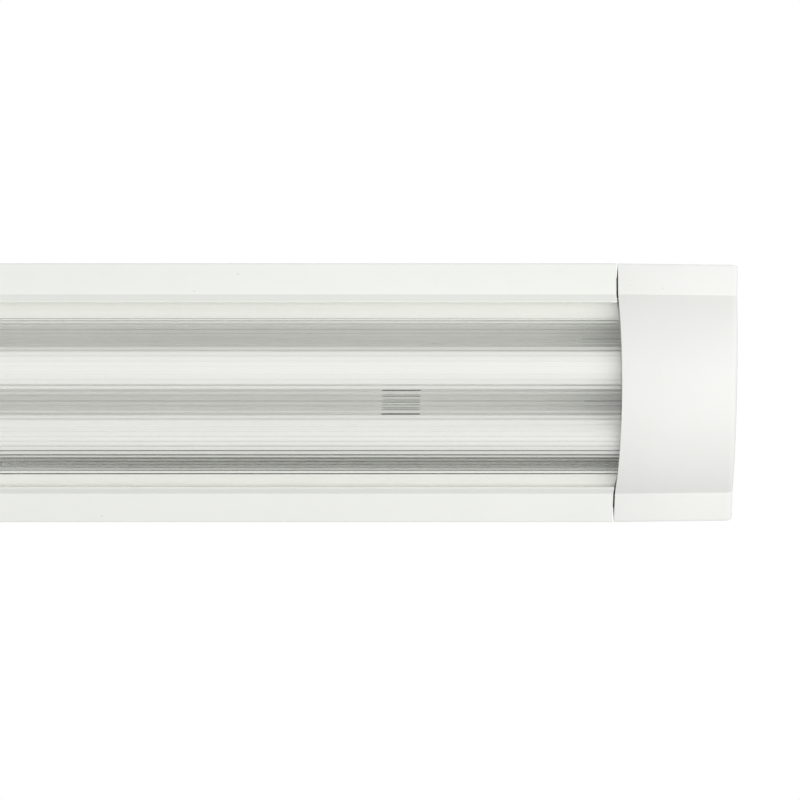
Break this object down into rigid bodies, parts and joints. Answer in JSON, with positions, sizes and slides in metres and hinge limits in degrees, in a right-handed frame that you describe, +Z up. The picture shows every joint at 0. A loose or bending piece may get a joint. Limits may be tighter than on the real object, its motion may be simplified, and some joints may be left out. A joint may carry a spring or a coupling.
{
  "type": "tube light fixture",
  "caption": "Ceiling batten for T8 LED tubes: white folded steel tray, opal tubes in rotary lamp holders, clear ribbed arched cover and white moulded end caps.",
  "frame": {"origin": "centre of the back face, which lies against the ceiling", "axes": "+X along the batten, away from the cable entry; +Y across it; +Z up, out of the back face into the ceiling"},
  "size_m": [1.2532, 0.1512, 0.0455],
  "materials": {
    "tray_paint": "white powder coat, satin",
    "cap_plastic": "white moulded plastic, satin",
    "clear_cover": "clear, smooth outside and ribbed inside",
    "opal_tube": "opal, satin",
    "ferrule_aluminium": "brushed",
    "pin_brass": "polished",
    "board_white": "white solder mask",
    "led_yellow": "phosphor",
    "driver_green": "circuit board",
    "holder_plastic": "white moulded",
    "rotor_plastic": "white moulded",
    "contact_bronze": "spring bronze",
    "bracket_steel": "galvanised sheet",
    "rivet_aluminium": "plain",
    "screw_zinc": "zinc plated",
    "clamp_brass": "plain",
    "block_plastic": "natural nylon",
    "clip_nylon": "white nylon",
    "grommet_rubber": "black",
    "live_brown": "brown insulation",
    "neutral_blue": "blue insulation",
    "earth_green_yellow": "green and yellow insulation"
  },
  "bodies": {
    "tray": {"base_tray": "tray_paint", "bracket_rivets": "rivet_aluminium", "cable_grommet": "grommet_rubber", "earth_screw": "screw_zinc", "earth_tag": "clamp_brass", "earth_wire": "earth_green_yellow", "holder_bracket_left": "bracket_steel", "holder_bracket_right": "bracket_steel", "holder_contacts_a_left": "contact_bronze", "holder_contacts_a_right": "contact_bronze", "holder_contacts_b_left": "contact_bronze", "holder_contacts_b_right": "contact_bronze", "lamp_holder_a_left": "holder_plastic", "lamp_holder_a_right": "holder_plastic", "lamp_holder_b_left": "holder_plastic", "lamp_holder_b_right": "holder_plastic", "live_wire_a": "live_brown", "live_wire_b": "live_brown", "neutral_wire_a": "neutral_blue", "neutral_wire_b": "neutral_blue", "terminal_block": "block_plastic", "terminal_block_screws": "screw_zinc", "terminal_clamps": "clamp_brass", "terminal_screws": "screw_zinc", "wire_clips": "clip_nylon"},
    "tube_a": {"holder_rotor_a_left": "rotor_plastic", "holder_rotor_a_right": "rotor_plastic", "tube_a_driver": "driver_green", "tube_a_end_cap_left": "ferrule_aluminium", "tube_a_end_cap_right": "ferrule_aluminium", "tube_a_glass": "opal_tube", "tube_a_led_board": "board_white", "tube_a_leds": "led_yellow", "tube_a_pins": "pin_brass"},
    "tube_b": {"holder_rotor_b_left": "rotor_plastic", "holder_rotor_b_right": "rotor_plastic", "tube_b_driver": "driver_green", "tube_b_end_cap_left": "ferrule_aluminium", "tube_b_end_cap_right": "ferrule_aluminium", "tube_b_glass": "opal_tube", "tube_b_led_board": "board_white", "tube_b_leds": "led_yellow", "tube_b_pins": "pin_brass"},
    "cover": {"light_cover": "clear_cover"},
    "cap_left": {"end_cap_left": "cap_plastic"},
    "cap_right": {"end_cap_right": "cap_plastic"}
  },
  "joints": [
    {"name": "tube_a_turn", "type": "hinge", "parent": "tray", "child": "tube_a", "pos_m": [0, -0.01565, -0.0215], "axis": [1, 0, 0], "range_deg": [0, 90]},
    {"name": "tube_b_turn", "type": "hinge", "parent": "tray", "child": "tube_b", "pos_m": [0, 0.02285, -0.0215], "axis": [1, 0, 0], "range_deg": [0, 90]},
    {"name": "left_cap_pull", "type": "slide", "parent": "tray", "child": "cap_left", "axis": [-1, 0, 0], "range_m": [0, 0.09]},
    {"name": "cover_draw", "type": "slide", "parent": "tray", "child": "cover", "axis": [1, 0, 0], "range_m": [0, 1.12]},
    {"name": "right_cap_pull", "type": "slide", "parent": "tray", "child": "cap_right", "axis": [1, 0, 0], "range_m": [0, 1.2]}
  ],
  "couplings": [
    {"joint": "right_cap_pull", "follows": "cover_draw", "ratio": 1.07}
  ]
}
